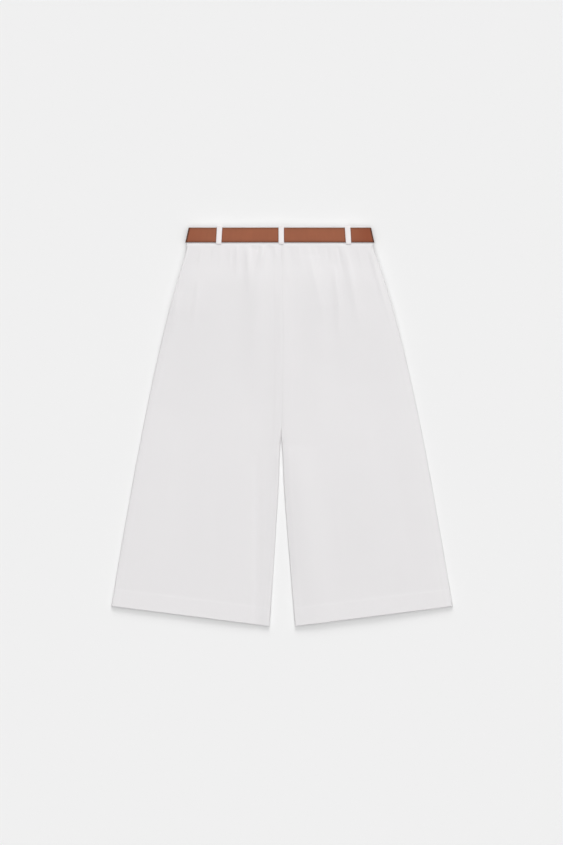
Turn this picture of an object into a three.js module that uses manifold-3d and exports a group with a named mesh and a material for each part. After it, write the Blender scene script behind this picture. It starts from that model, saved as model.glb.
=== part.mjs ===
// Bermuda shorts with a belt, laid flat on a table: the front lies underneath and the back shows.
//
// Millimetres. X runs across the shorts, Y up towards the waist, Z up from the table. The wearer's
// left is at -X. The origin is on the table, in the middle of the shorts' length and width.
//
// Along the garment, places are given as a drop: the distance below the waist seam, which joins the
// waistband to the panels. The waistband and belt have a negative drop. Across it, each x is
// measured from the centre seam, until the finished pieces are moved across together.

import * as THREE from "three";
import { mergeVertices } from "three/addons/utils/BufferGeometryUtils.js";
import Module from "manifold-3d";

const wasm = await Module();
wasm.setup();

// ---------------------------------------------------------------- driving sizes

const SEAM = 0.3; // gap between two pieces that are sewn or lie together
const CLOTH = 1.2; // wall of a panel
const HEM_WALL = 2.0; // wall where the hem is turned up inside
const HEM_DEPTH = 33;

const WAIST_HALF = 166.3; // centre line to side fold at the waist seam
const WAIST_LEAN = 2.3; // the waist lies this far towards the wearer's left
const LEAN_LENGTH = 18; // drop over which most of that lean is lost
const LEG_LEAN = 1.8; // the legs' side seams lie this far towards the right
const FLARE = 0.1613; // spread of each side for each millimetre of drop
const HIP_SPRING = 35; // extra spread over the hip
const HIP_LENGTH = 206; // drop over which most of that extra comes in
const HIP_CURVE = 1.15; // over 1, so that it comes in slowly at first
const CINCH = 3.4; // the belt draws each side of the cloth below it in by about this much
const CINCH_LENGTH = 75; // drop over which most of that is lost

const CROTCH_DROP = 343;
const OUTER_DROP = 643.8; // side seam, from waist seam to hem
const INNER_DROP = 679.7; // lowest corner of each leg
const LEG_GAP = { left: 20.5, right: 25 }; // inseam to centre line at the hem
const LEG_GAP_POWER = 1.15;
const SEAM_BOW = 3; // the centre back seam lies this far towards the right, halfway to the crotch
const CROTCH_VALLEY = 60; // length over which the centre seam sinks to the crotch

const BAND_HEIGHT = 31.5;
const BAND_WALL = 1.6;
const BAND_TAPER = 0.22; // the band's side folds lean in by this share of its height
const FRONT_DIP = 10; // the front waist is cut lower than the back
const BAND_OVERLAP = 6; // the left band end reaches this far past the centre front
const BAND_UNDERLAP = 30; // the right band end reaches this far behind the left one

const BELT_WIDTH = 26.5;
const BELT_WALL = 1.5;
const BELT_DROP = -3.5; // lower edge of the belt
const BELT_TIP_X = -130;
const BELT_SLACK = { left: 0.8, right: 1.3 }; // the belt's folds stand off the band's by this much

const LOOP_WIDTH = 9.5;
const LOOP_WALL = 1.4;
const LOOP_LEAN = 0.4; // share of the band's taper that the loops follow

// ---------------------------------------------------------------- heights above the table

const TIP_Z = 0; // the belt's tip layer at the buckle
const STRAP_Z = TIP_Z + BELT_WALL + SEAM; // the strap that carries the buckle
const BAR_ROOM = 1.3; // room inside the strap's fold for the hinge bar
const RUN_Z = STRAP_Z + BELT_WALL + BAR_ROOM; // the belt along the front waistband
const BAND_FRONT_Z = RUN_Z + BELT_WALL + SEAM;
const BAND_STACK = 3.9; // both waistband layers with the gap between them
const BAND_MIDDLE_Z = BAND_FRONT_Z + BAND_STACK / 2;
const BAND_BACK_Z = BAND_FRONT_Z + BAND_STACK - BAND_WALL;
const UNDERLAP_Z = BAND_FRONT_Z + BAND_WALL + SEAM;
const BELT_BACK_Z = BAND_BACK_Z + BAND_WALL + SEAM;

const PANEL_FRONT_Z = BAND_FRONT_Z + (BAND_WALL - CLOTH) / 2; // front panels at the waist seam
const WAIST_SLOPE = 310; // drop over which the panels come down from the waist to the table
const EDGE_SLACK = 0.5; // spare height inside the side folds
const WAIST_EDGE_EXTRA = 0.3;
const LOFT = 2.8; // how far the back panels stand up over the front ones
const HEM_LOFT = 1.2;
const SIDE_FALL = { left: 8, right: 18 }; // width over which the panels come down to a side seam
const INSEAM_FALL = { left: 30, right: 8 };
const CROWN = 2.1; // rise of the back waist over the fly's layers
const CROWN_HALF_WIDTH = 75;
const FLY_ROOM = 1.4; // the front panels lie this far up over the fly flap

// Folds of the panels. x and drop are where a fold starts, and drift is how far it wanders across.
// A ridge has a positive height, and a trough a negative one.
const BACK_FOLDS = [
  { x: -59, drop: 2, drift: 2, length: 90, width: 6, height: 0.8 },
  { x: -30.5, drop: 0, drift: -5, length: 46, width: 5.5, height: 1.0 },
  { x: 47, drop: 4, drift: 34, length: 150, width: 6.5, height: 0.75 },
  { x: 94, drop: 36, drift: 12, length: 150, width: 6.5, height: 0.85 },
  { x: 88, drop: 110, drift: 6, length: 210, width: 20, height: -0.8 },
  { x: 111, drop: 0, drift: 34, length: 170, width: 8, height: 1.25 },
  { x: 160, drop: 8, drift: 28, length: 120, width: 5, height: 0.5 },
  { x: -147, drop: 62, drift: -14, length: 110, width: 5.5, height: 0.5 },
  { x: -180, drop: 84, drift: -22, length: 110, width: 8, height: 0.6 },
  { x: 2, drop: 70, drift: 0, length: 420, width: 17, height: 1.7 },
  { x: -150, drop: 120, drift: -60, length: 560, width: 45, height: -1.6 },
  { x: -42, drop: 370, drift: 0, length: 480, width: 8, height: -1.2 },
  { x: 25, drop: 360, drift: 62, length: 420, width: 26, height: 2.0 },
  { x: 140, drop: 250, drift: 50, length: 900, width: 60, height: 1.3 },
];

// The two full folds over the seat, which the front panels share.
const SEAT_FOLDS = [
  { x: -42, drop: 10, drift: -10, length: 250, width: 20, height: 2.6 },
  { x: 52, drop: 20, drift: 20, length: 190, width: 19, height: 1.6 },
];

// Folds of the front panels alone, whose underside can only hollow.
const FRONT_FOLDS = [
  { x: -118, drop: 2, drift: -10, length: 150, width: 10, height: 1.0 },
  { x: -84, drop: 2, drift: -5, length: 190, width: 10, height: 1.2 },
  { x: 80, drop: 2, drift: 6, length: 190, width: 10, height: 1.2 },
  { x: 114, drop: 2, drift: 12, length: 160, width: 10, height: 1.0 },
];
const FOLD_PEAK = 0.6; // under 1, so that a fold is deepest in its upper part

const LOOPS = [
  { name: "loop_back_left", x: -111, face: "back" },
  { name: "loop_back_centre", x: 0.4, face: "back" },
  { name: "loop_back_right", x: 120.3, face: "back" },
  { name: "loop_front_left", x: -110, face: "front", carriesTip: true },
  { name: "loop_front_right", x: 112, face: "front", carriesTip: false },
];

const SIDES = { left: -1, right: 1 };

const CENTRE_X = -LEG_LEAN; // where the centre line is moved, so that the box is centred on X = 0
const TOP_DROP = -(BAND_HEIGHT + SEAM + LOOP_WALL); // the highest point is the top of the loops
const MIDDLE_DROP = (TOP_DROP + INNER_DROP) / 2;
const yAt = (drop) => MIDDLE_DROP - drop;

// ---------------------------------------------------------------- small helpers

const { clamp, degToRad, lerp } = THREE.MathUtils;
const ease = (t) => THREE.MathUtils.smoothstep(t, 0, 1);
const steps = (from, to, count) =>
  Array.from({ length: count + 1 }, (_, i) => lerp(from, to, i / count));

// A closed wall between an outer and an inner grid of points, both [row][column].
function wallBetween(outer, inner) {
  const rows = outer.length;
  const columns = outer[0].length;
  const points = [...outer.flat(), ...inner.flat()];
  const at = (layer, r, c) => (layer * rows + r) * columns + c;
  const index = [];
  const quad = (a, b, c, d) => index.push(a, b, c, a, c, d);
  for (let r = 0; r + 1 < rows; r++) {
    for (let c = 0; c + 1 < columns; c++) {
      quad(at(0, r, c), at(0, r + 1, c), at(0, r + 1, c + 1), at(0, r, c + 1));
      quad(at(1, r, c), at(1, r, c + 1), at(1, r + 1, c + 1), at(1, r + 1, c));
    }
    quad(at(0, r, 0), at(1, r, 0), at(1, r + 1, 0), at(0, r + 1, 0));
    const last = columns - 1;
    quad(at(0, r, last), at(0, r + 1, last), at(1, r + 1, last), at(1, r, last));
  }
  for (let c = 0; c + 1 < columns; c++) {
    quad(at(0, 0, c), at(0, 0, c + 1), at(1, 0, c + 1), at(1, 0, c));
    const last = rows - 1;
    quad(at(0, last, c), at(1, last, c), at(1, last, c + 1), at(0, last, c + 1));
  }
  return facingOut(points, index);
}

// A geometry of those points and triangles, turned round if its faces point inwards.
function facingOut(points, index) {
  let volume = 0;
  const cross = new THREE.Vector3();
  for (let i = 0; i < index.length; i += 3) {
    const [a, b, c] = [0, 1, 2].map((k) => points[index[i + k]]);
    volume += a.dot(cross.crossVectors(b, c));
  }
  const facing = volume < 0 ? index.reverse() : index;
  const geometry = new THREE.BufferGeometry().setFromPoints(points);
  return geometry.setIndex(facing);
}

function toSolid(geometry) {
  const bare = new THREE.BufferGeometry();
  bare.setAttribute("position", geometry.getAttribute("position"));
  bare.setIndex(geometry.index);
  const merged = mergeVertices(bare, 1e-4);
  const vertProperties = new Float32Array(merged.getAttribute("position").array);
  const triVerts = new Uint32Array(merged.index.array);
  return new wasm.Manifold(new wasm.Mesh({ numProp: 3, vertProperties, triVerts }));
}

function toGeometry(solid) {
  const mesh = solid.getMesh();
  const geometry = new THREE.BufferGeometry();
  geometry.setAttribute("position", new THREE.BufferAttribute(mesh.vertProperties, 3));
  return geometry.setIndex(new THREE.BufferAttribute(mesh.triVerts, 1));
}

// A box given by its lowest and highest corner.
function boxBetween(low, high) {
  const size = new THREE.Vector3().subVectors(high, low);
  const middle = new THREE.Vector3().addVectors(low, high).multiplyScalar(0.5);
  return new THREE.BoxGeometry(size.x, size.y, size.z).translate(...middle.toArray());
}

// ---------------------------------------------------------------- outline of the shorts

// How far both side seams lie towards the wearer's left.
function lean(drop) {
  const below = Math.max(0, drop);
  return WAIST_LEAN * Math.exp(-below / LEAN_LENGTH) - LEG_LEAN * ease(drop / CROTCH_DROP);
}

// Centre line to side fold, at a drop, on one side.
function sideReach(sign, drop) {
  const below = Math.max(0, drop);
  const hip = HIP_SPRING * (1 - Math.exp(-((below / HIP_LENGTH) ** HIP_CURVE)));
  const spread = FLARE * below + hip;
  return WAIST_HALF + spread - sign * lean(drop) + BAND_TAPER * Math.min(0, drop);
}

const cinch = (drop) => CINCH * ease(drop / 9) * Math.exp(-drop / CINCH_LENGTH);

// Centre line to the inner edge of a panel, which is the centre seam above the crotch.
function innerReach(sideName, face, drop) {
  const share = clamp((drop - CROTCH_DROP) / (INNER_DROP - CROTCH_DROP), 0, 1);
  const bow = face === "back" ? Math.sin(Math.PI * clamp(drop / CROTCH_DROP, 0, 1)) : 0;
  return SEAM / 2 + LEG_GAP[sideName] * share ** LEG_GAP_POWER + SIDES[sideName] * SEAM_BOW * bow;
}

const frontDip = (x) => FRONT_DIP * Math.cos((Math.PI * clamp(x / WAIST_HALF, -1, 1)) / 2) ** 2;

// ---------------------------------------------------------------- heights of the panels

const waistFall = (drop) => ease(1 - (drop - FRONT_DIP) / WAIST_SLOPE);
const HEM_START = 1 - HEM_DEPTH / INNER_DROP;
const HEM_BLEND = 0.08; // share of the length over which the panels thicken towards the hem
const hemRise = (length) => ease(1 - (HEM_START - length) / HEM_BLEND);

// Height of both panels lying together at a side fold.
function edgeStack(drop, length) {
  const wall = lerp(CLOTH, HEM_WALL, hemRise(length));
  return 2 * wall + SEAM + EDGE_SLACK + WAIST_EDGE_EXTRA * waistFall(drop);
}

function foldHeight(folds, x, drop) {
  return folds.reduce((sum, fold) => {
    const along = (drop - fold.drop) / fold.length;
    if (along <= 0 || along >= 1) return sum;
    const across = (x - fold.x - fold.drift * along) / fold.width;
    return sum + fold.height * Math.sin(Math.PI * along ** FOLD_PEAK) * Math.exp(-across * across);
  }, 0);
}

const crown = (x) => CROWN * Math.exp(-((x / CROWN_HALF_WIDTH) ** 2));

// How far the front panels rise over the fly flap, which lies under them.
function flyRoom(x, drop) {
  const across = ease((x + 58) / 20) * ease((30 - x) / 20);
  const along = ease((drop - 40) / 50) * ease((215 - drop) / 40);
  return FLY_ROOM * across * along;
}

function frontUnderside(x, drop) {
  const folds = foldHeight(FRONT_FOLDS, x, drop) + foldHeight(SEAT_FOLDS, x, drop);
  return PANEL_FRONT_Z * waistFall(drop) + flyRoom(x, drop) + folds;
}

// How far the inner edge is turned down: not at the centre seam, and fully along the inseam.
const crotchTurn = (drop) => ease((drop - CROTCH_DROP + CROTCH_VALLEY) / CROTCH_VALLEY);

// How far the back panel stands up over the front one. Over the seat it spans both legs, and below
// it comes down to each inseam too.
function loftAt(sideName, drop, length, fromInseam, fromSide) {
  const legShare = ease((drop - CROTCH_DROP + 90) / 120);
  const sideRise = 1 - Math.exp(-fromSide / SIDE_FALL[sideName]);
  const inseamRise = 1 - legShare * Math.exp(-fromInseam / INSEAM_FALL[sideName]);
  return lerp(LOFT, HEM_LOFT, hemRise(length)) * ease(drop / 70) * sideRise * inseamRise;
}

// ---------------------------------------------------------------- panels

// Rows of a panel, as shares of its length. They are closest where the folds start.
const ROW_DROPS = [
  0, 7, 15, 25, 37, 51, 67, 85, 106, 130, 160, 195, 235, 275, 306, 328, CROTCH_DROP,
  360, 390, 430, 475, 525, 575, 615, INNER_DROP - HEM_DEPTH - 1.5, INNER_DROP - HEM_DEPTH, 661,
  INNER_DROP,
];

// Columns of a panel: three round each edge, and between them the flat part. turned is 0 at the
// edge's seam and 1 where the flat part begins.
function columnsOf(flatCount) {
  const edgeSteps = [0, 1 / 3, 2 / 3];
  const inner = edgeSteps.map((turned) => ({ edge: "inner", turned }));
  const flat = steps(0, 1, flatCount).map((share) => ({ edge: null, turned: 1, share }));
  const outer = edgeSteps.map((turned) => ({ edge: "outer", turned })).reverse();
  return [...inner, ...flat, ...outer];
}

// The outer and inner grid of one panel. face is "back" or "front".
function panelGrids(sideName, face, flatCount) {
  const sign = SIDES[sideName];
  const up = face === "back" ? 1 : -1;
  const columns = columnsOf(flatCount);
  const outer = [];
  const inner = [];
  for (const rowDrop of ROW_DROPS) {
    const length = rowDrop / INNER_DROP;
    const wall = length >= HEM_START - 1e-6 ? HEM_WALL : CLOTH;
    const outerRow = [];
    const innerRow = [];
    for (const column of columns) {
      const made = panelPoint(sideName, sign, up, length, column);
      outerRow.push(made.point);
      innerRow.push(made.point.clone().addScaledVector(made.normal, -wall));
    }
    outer.push(outerRow);
    inner.push(innerRow);
  }
  return { outer, inner };
}

function panelPoint(sideName, sign, up, length, column) {
  const innerDrop = INNER_DROP * length;
  const outerDrop = OUTER_DROP * length;
  const innerX = innerReach(sideName, up > 0 ? "back" : "front", innerDrop);
  const outerX = sideReach(sign, outerDrop) - cinch(outerDrop);
  const rowWidth = outerX - innerX;
  const roll = edgeStack(outerDrop, length) / 2;

  // The wall turns down by sweep at an edge. Its face points up or down at 90 degrees of turn.
  const sweep = (Math.PI / 2) * (column.edge === "inner" ? crotchTurn(innerDrop) : 1);
  const turn = Math.PI / 2 - sweep * (1 - column.turned);
  const spread = Math.sin(sweep) - Math.cos(turn) + (1 - Math.sin(sweep)) * column.turned;
  const fromEdge = roll * spread;
  const place = {
    inner: fromEdge,
    outer: rowWidth - fromEdge,
    null: roll + (rowWidth - 2 * roll) * column.share,
  }[column.edge];
  const across = place / rowWidth;
  const x = sign * (innerX + place);

  const top = SEAM / 2 + (up < 0 ? frontDip(sign * across * WAIST_HALF) : 0);
  const drop = lerp(top, lerp(INNER_DROP, OUTER_DROP, across), length);

  const base = PANEL_FRONT_Z * waistFall(drop);
  const stack = edgeStack(drop, length);
  const underside = frontUnderside(x, drop);
  const bowed =
    base +
    stack +
    loftAt(sideName, drop, length, place, rowWidth - place) +
    crown(x) * waistFall(drop) +
    foldHeight(SEAT_FOLDS, x, drop) +
    foldHeight(BACK_FOLDS, x, drop);
  const resting = underside + stack - EDGE_SLACK + SEAM;
  const surface = up > 0 ? Math.max(bowed, resting) : underside;

  // The seam lies at the middle of the stack.
  const seam = base + stack / 2 + (up * SEAM) / 2;
  const z = lerp(seam, surface, Math.sin(turn));
  const outwards = column.edge === "inner" ? -sign : sign;
  const normal = new THREE.Vector3(outwards * Math.cos(turn), 0, up * Math.sin(turn));
  return { point: new THREE.Vector3(x, yAt(drop), z), normal };
}

// ---------------------------------------------------------------- bands: strips that run across

// A strip along a path of stations { x, z, nx, nz, half }, all given on its middle line. nx and nz
// point out of the strip. rows are the drops of its long edges, and shift lowers each station.
function strip(stations, wall, rows, shift = () => 0) {
  const middleRow = (rows[0] + rows[rows.length - 1]) / 2;
  const grid = (offset) =>
    rows.map((row) =>
      stations.map((s) => {
        const narrowed = middleRow + (row - middleRow) * (s.half ?? 1);
        const drop = narrowed + shift(s);
        const taper = sideReach(0, row) / WAIST_HALF;
        return new THREE.Vector3((s.x + offset * s.nx) * taper, yAt(drop), s.z + offset * s.nz);
      }),
    );
  return wallBetween(grid(wall / 2), grid(-wall / 2));
}

// Stations along a stretch that runs across, at the height of zOf. up is 1 or -1, the outer side.
function stretch(from, to, count, zOf, up, more = {}) {
  return steps(from, to, count).map((x) => {
    const slope = (zOf(x + 0.5) - zOf(x - 0.5)) / 1;
    const size = Math.hypot(1, slope);
    return { x, z: zOf(x), nx: (-up * slope) / size, nz: up / size, ...more };
  });
}

// Stations round a fold, between two angles in degrees.
function fold(centreX, centreZ, radius, from, to, count) {
  return steps(from, to, count).map((degrees) => {
    const nx = Math.cos(degToRad(degrees));
    const nz = Math.sin(degToRad(degrees));
    return { x: centreX + radius * nx, z: centreZ + radius * nz, nx, nz };
  });
}

const BAND_ROWS = [-BAND_HEIGHT, -BAND_HEIGHT / 2, -SEAM / 2];
const leftFold = -(sideReach(-1, 0) - BAND_STACK / 2);
const rightFold = sideReach(1, 0) - BAND_STACK / 2;
const bandRadius = (BAND_STACK - BAND_WALL) / 2;
const bandEnd = Math.asin(SEAM / 2 / bandRadius) * (180 / Math.PI);

// A station whose end face is level, at a side seam.
function sideSeam(foldX, outwards, up) {
  const x = foldX + outwards * bandRadius;
  return { x, z: BAND_MIDDLE_Z + (up * SEAM) / 2, nx: outwards, nz: 0 };
}

function waistbandBack() {
  const z = (x) => BAND_BACK_Z + BAND_WALL / 2 + crown(x);
  const stations = [
    sideSeam(leftFold, -1, 1),
    ...fold(leftFold, BAND_MIDDLE_Z, bandRadius, 150, 120, 1),
    ...stretch(leftFold, rightFold, 36, z, 1),
    ...fold(rightFold, BAND_MIDDLE_Z, bandRadius, 60, 30, 1),
    sideSeam(rightFold, 1, 1),
  ];
  return strip(stations, BAND_WALL, BAND_ROWS);
}

const dipOf = (station) => frontDip(station.x);

function waistbandFrontLeft() {
  const z = () => BAND_FRONT_Z + BAND_WALL / 2;
  const stations = [
    sideSeam(leftFold, -1, -1),
    ...fold(leftFold, BAND_MIDDLE_Z, bandRadius, 210, 240, 1),
    ...stretch(leftFold, BAND_OVERLAP, 16, z, -1),
  ];
  return strip(stations, BAND_WALL, BAND_ROWS, dipOf);
}

function waistbandFrontRight() {
  const rampStart = BAND_OVERLAP + 3;
  const z = (x) => {
    const share = ease((rampStart + 26 - x) / 26);
    return lerp(BAND_FRONT_Z, UNDERLAP_Z, share) + BAND_WALL / 2;
  };
  const stations = [
    ...stretch(-BAND_UNDERLAP, BAND_OVERLAP + 2, 3, z, -1),
    ...stretch(rampStart, rampStart + 26, 6, z, -1),
    ...stretch(rampStart + 36, rightFold, 12, z, -1),
    ...fold(rightFold, BAND_MIDDLE_Z, bandRadius, 300, 330, 1),
    sideSeam(rightFold, 1, -1),
  ];
  return strip(stations, BAND_WALL, BAND_ROWS, dipOf);
}

// ---------------------------------------------------------------- fly flap

const FLY = { left: -34, right: BAND_OVERLAP, drop: 165, curve: 42, wall: 1.0 };

// The flap lies under both front panels. Its left edge is straight, then curves in at the bottom.
function flyFlap() {
  const grid = (offset) =>
    [0, 20, 45, 75, 105, 123, 135, 146, 155, 161, FLY.drop].map((rowDrop) => {
      const curved = clamp((rowDrop - FLY.drop + FLY.curve) / FLY.curve, 0, 1);
      const narrow = 1 - Math.sqrt(1 - curved * curved * 0.96);
      const left = lerp(FLY.left, FLY.right, narrow);
      return steps(left, FLY.right, 6).map((x) => {
        const top = frontDip(x) + SEAM / 2;
        const drop = lerp(top, FLY.drop, rowDrop / FLY.drop);
        return new THREE.Vector3(x, yAt(drop), frontUnderside(x, drop) - offset);
      });
    });
  return wallBetween(grid(SEAM + FLY.wall), grid(SEAM));
}

// ---------------------------------------------------------------- belt

const HINGE_X = -7; // middle of the strap's fold round the hinge bar
const FAR_BAR = { from: 16, to: 19.5, height: 1.5 };
const STRAP_RAMP = { from: -48, to: -73 }; // the strap rises from the buckle to the waistband
const PRONG_HALF = 1.2;
const beltMiddle = (z) => z + BELT_WALL / 2;
const ramp = (x, fromX, toX, fromZ, toZ) => lerp(fromZ, toZ, ease((x - fromX) / (toX - fromX)));

function beltStations() {
  const run = beltMiddle(RUN_Z);
  const strap = beltMiddle(STRAP_Z);
  const tip = beltMiddle(TIP_Z);
  const tipRun = run - BELT_WALL - SEAM;
  const { from, to } = STRAP_RAMP;
  const sideRadius = BAND_STACK / 2 + SEAM + BELT_WALL / 2;
  const hingeRadius = (run - strap) / 2;
  const strapZ = (x) => ramp(x, from, to, strap, run);
  const tipZ = (x) => ramp(x, from, to, tip, tipRun);
  const backZ = (x) => beltMiddle(BELT_BACK_Z) + crown(x);
  const farZ = (x) => ramp(x, 45, 22, run, strap);
  const buckleZ = (x) => ramp(x, 14, -4, strap, tip);
  const front = { front: true };
  const outwards = (stations) => stations.map((s) => ({ ...s, ...front }));
  const inwards = (stations) => outwards(stations).map((s) => ({ ...s, nx: -s.nx, nz: -s.nz }));
  return [
    ...inwards(stretch(-45, HINGE_X - 1, 3, () => run, -1)),
    ...outwards(fold(HINGE_X, (run + strap) / 2, hingeRadius, 90, -90, 8)),
    ...outwards(stretch(HINGE_X - 1, from, 4, strapZ, -1)),
    ...outwards(stretch(from - 4, to, 5, strapZ, -1)),
    ...outwards(stretch(to - 9, leftFold + 1, 8, strapZ, -1)),
    ...fold(leftFold - BELT_SLACK.left, BAND_MIDDLE_Z, sideRadius, 270, 90, 8),
    ...stretch(leftFold + 1, rightFold - 1, 30, backZ, 1),
    ...fold(rightFold + BELT_SLACK.right, BAND_MIDDLE_Z, sideRadius, 90, -90, 8),
    ...outwards(stretch(rightFold - 1, 52, 8, () => run, -1)),
    ...outwards(stretch(45, 22, 5, farZ, -1)),
    ...outwards(stretch(14, -4, 5, buckleZ, -1)),
    ...outwards(stretch(-8, from, 3, tipZ, -1)),
    ...outwards(stretch(from - 4, to, 5, tipZ, -1)),
    ...outwards(stretch(to - 9, BELT_TIP_X + 13, 3, tipZ, -1)),
    ...tipRound(tipRun),
  ];
}

// The tip's end is a half ellipse, as narrowing stations.
function tipRound(z) {
  return [20, 40, 60, 75, 86].map((degrees) => {
    const angle = degToRad(degrees);
    const x = BELT_TIP_X + 13 * (1 - Math.sin(angle));
    return { x, z, nx: 0, nz: -1, half: Math.cos(angle), front: true };
  });
}

function beltStrap() {
  const rows = [BELT_DROP - BELT_WIDTH, BELT_DROP];
  const dip = (station) => (station.front ? frontDip(station.x) : 0);
  const strap = toSolid(strip(beltStations(), BELT_WALL, rows, dip));
  const y = buckleY();
  const slot = (fromX, toX, fromZ, toZ) =>
    toSolid(
      boxBetween(
        new THREE.Vector3(fromX, y - PRONG_HALF - SEAM, fromZ),
        new THREE.Vector3(toX, y + PRONG_HALF + SEAM, toZ),
      ),
    );
  const hingeSlot = slot(HINGE_X - 0.5, -3, RUN_Z - BAR_ROOM - 0.2, RUN_Z + 0.2);
  const prongHole = slot(5.2, 10.8, -1, RUN_Z);
  return toGeometry(strap.subtract(hingeSlot).subtract(prongHole));
}

const buckleY = () => yAt(BELT_DROP - BELT_WIDTH / 2 + FRONT_DIP);

// A shape in the X-Z plane, made as thick as width along Y about a middle.
function acrossY(outline, middleY, width) {
  const shape = new THREE.Shape(outline.map(([x, z]) => new THREE.Vector2(x, z)));
  const geometry = new THREE.ExtrudeGeometry(shape, { depth: width, bevelEnabled: false });
  return geometry.rotateX(Math.PI / 2).translate(0, middleY + width / 2, 0);
}

function buckleFrame() {
  const y = buckleY();
  const railWidth = 2.5;
  const innerHalf = BELT_WIDTH / 2 + 0.9;
  const barZ = (RUN_Z + STRAP_Z + BELT_WALL) / 2;
  const barHalf = 0.5;
  const hinge = { from: HINGE_X - 2.9, to: HINGE_X + 0.1 };
  const rail = [
    [hinge.from, barZ - 1.1],
    [FAR_BAR.to, 0],
    [FAR_BAR.to, 1.9],
    [hinge.from, barZ + 0.9],
  ];
  const railAt = (side) => toSolid(acrossY(rail, y + side * (innerHalf + railWidth / 2), railWidth));
  const reach = innerHalf + railWidth / 2;
  const bar = (fromX, toX, fromZ, toZ) =>
    toSolid(boxBetween(new THREE.Vector3(fromX, y - reach, fromZ), new THREE.Vector3(toX, y + reach, toZ)));
  const hingeBar = bar(hinge.from, hinge.to, barZ - barHalf, barZ + barHalf);
  const farBar = bar(FAR_BAR.from, FAR_BAR.to, 0, FAR_BAR.height);
  const groove = toSolid(
    boxBetween(
      new THREE.Vector3(FAR_BAR.from - 1, y - PRONG_HALF - SEAM, -1),
      new THREE.Vector3(FAR_BAR.to + 1, y + PRONG_HALF + SEAM, 0.95),
    ),
  );
  const frame = railAt(1).add(railAt(-1)).add(hingeBar).add(farBar.subtract(groove));
  return toGeometry(frame);
}

// The prong leaves the hinge bar, comes down through the strap's hole and lies in the far bar.
function buckleProng() {
  const top = [[HINGE_X + 0.4, 4.4], [0, 4.4], [5.2, 3.7], [11, 1.2], [FAR_BAR.to - 0.3, 0.65]];
  const under = [[FAR_BAR.to - 0.3, 0], [11, 0.15], [4.6, 2.85], [0, 3.5], [HINGE_X + 0.4, 3.5]];
  return acrossY([...top, ...under].reverse(), buckleY(), 2 * PRONG_HALF);
}

// ---------------------------------------------------------------- belt loops

// A loop is a bracket over the belt. Its upper end caps the band's edge, its lower end lies on it.
function beltLoop({ x, face, carriesTip }) {
  const up = face === "back" ? 1 : -1;
  const rise = face === "back" ? crown(Math.max(0, Math.abs(x) - LOOP_WIDTH / 2)) : 0;
  const beltFace = face === "back" ? BELT_BACK_Z + BELT_WALL + rise : RUN_Z;
  const tipRoom = carriesTip ? BELT_WALL + SEAM : 0;
  const inside = beltFace + up * (SEAM + tipRoom);
  const outside = inside + up * LOOP_WALL;
  const band = face === "back" ? BAND_BACK_Z + BAND_WALL + rise : BAND_FRONT_Z;
  const capEnd = band - up * 1.1;
  const footEnd = band + up * SEAM;
  const round = 0.6;
  const topDrop = TOP_DROP;
  const footDrop = -0.5;
  const outline = [
    [topDrop, capEnd],
    [topDrop, outside - up * round],
    [topDrop + round, outside],
    [footDrop - round, outside],
    [footDrop, outside - up * round],
    [footDrop, footEnd],
    [footDrop - LOOP_WALL, footEnd],
    [footDrop - LOOP_WALL, inside],
    [topDrop + LOOP_WALL, inside],
    [topDrop + LOOP_WALL, capEnd],
  ];
  const ordered = up > 0 ? outline : outline.reverse();
  const shape = new THREE.Shape(ordered.map(([drop, z]) => new THREE.Vector2(drop, z)));
  const geometry = new THREE.ExtrudeGeometry(shape, { depth: LOOP_WIDTH, bevelEnabled: false });
  const position = geometry.getAttribute("position");
  const points = [];
  for (let i = 0; i < position.count; i++) {
    const drop = position.getX(i);
    const along = position.getZ(i) - LOOP_WIDTH / 2;
    const taper = sideReach(0, drop) / WAIST_HALF;
    const across = x * lerp(1, taper, LOOP_LEAN) + along;
    const dip = face === "front" ? frontDip(across / taper) : 0;
    points.push(new THREE.Vector3(across, yAt(drop + dip), position.getY(i)));
  }
  const index = geometry.index ? [...geometry.index.array] : points.map((_, i) => i);
  return facingOut(points, index);
}

// ---------------------------------------------------------------- the shorts

const white = new THREE.MeshStandardMaterial({ color: 0xe9e8e8, roughness: 0.9, metalness: 0 });
const whiteBand = new THREE.MeshStandardMaterial({ color: 0xebeaea, roughness: 0.9, metalness: 0 });
const tan = new THREE.MeshStandardMaterial({ color: 0x9b6049, roughness: 0.55, metalness: 0 });
const metal = new THREE.MeshStandardMaterial({ color: 0xb9a27c, roughness: 0.35, metalness: 1 });

const shorts = new THREE.Group();

function addPiece(name, geometry, material) {
  const mesh = new THREE.Mesh(geometry.translate(CENTRE_X, 0, 0), material);
  mesh.name = name;
  shorts.add(mesh);
}

for (const sideName of Object.keys(SIDES)) {
  const back = panelGrids(sideName, "back", 33);
  addPiece(`back_panel_${sideName}`, wallBetween(back.outer, back.inner), white);
  const front = panelGrids(sideName, "front", 17);
  addPiece(`front_panel_${sideName}`, wallBetween(front.outer, front.inner), white);
}
addPiece("waistband_back", waistbandBack(), whiteBand);
addPiece("waistband_front_left", waistbandFrontLeft(), whiteBand);
addPiece("waistband_front_right", waistbandFrontRight(), whiteBand);
addPiece("fly_flap", flyFlap(), white);
addPiece("belt_strap", beltStrap(), tan);
addPiece("buckle_frame", buckleFrame(), metal);
addPiece("buckle_prong", buckleProng(), metal);
for (const loop of LOOPS) addPiece(loop.name, beltLoop(loop), whiteBand);

export default shorts;
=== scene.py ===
"""Bermuda shorts with a belt, laid flat with the back up: cloth, leather, buckle, floor and light.

Sizes are in millimetres, and a mesh is made in metres. Along the garment, places are given as a
drop, which is the distance below the waist seam. The waistband and belt have a negative drop.
"""

import math

import bpy
import numpy as np
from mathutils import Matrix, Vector, noise


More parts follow.
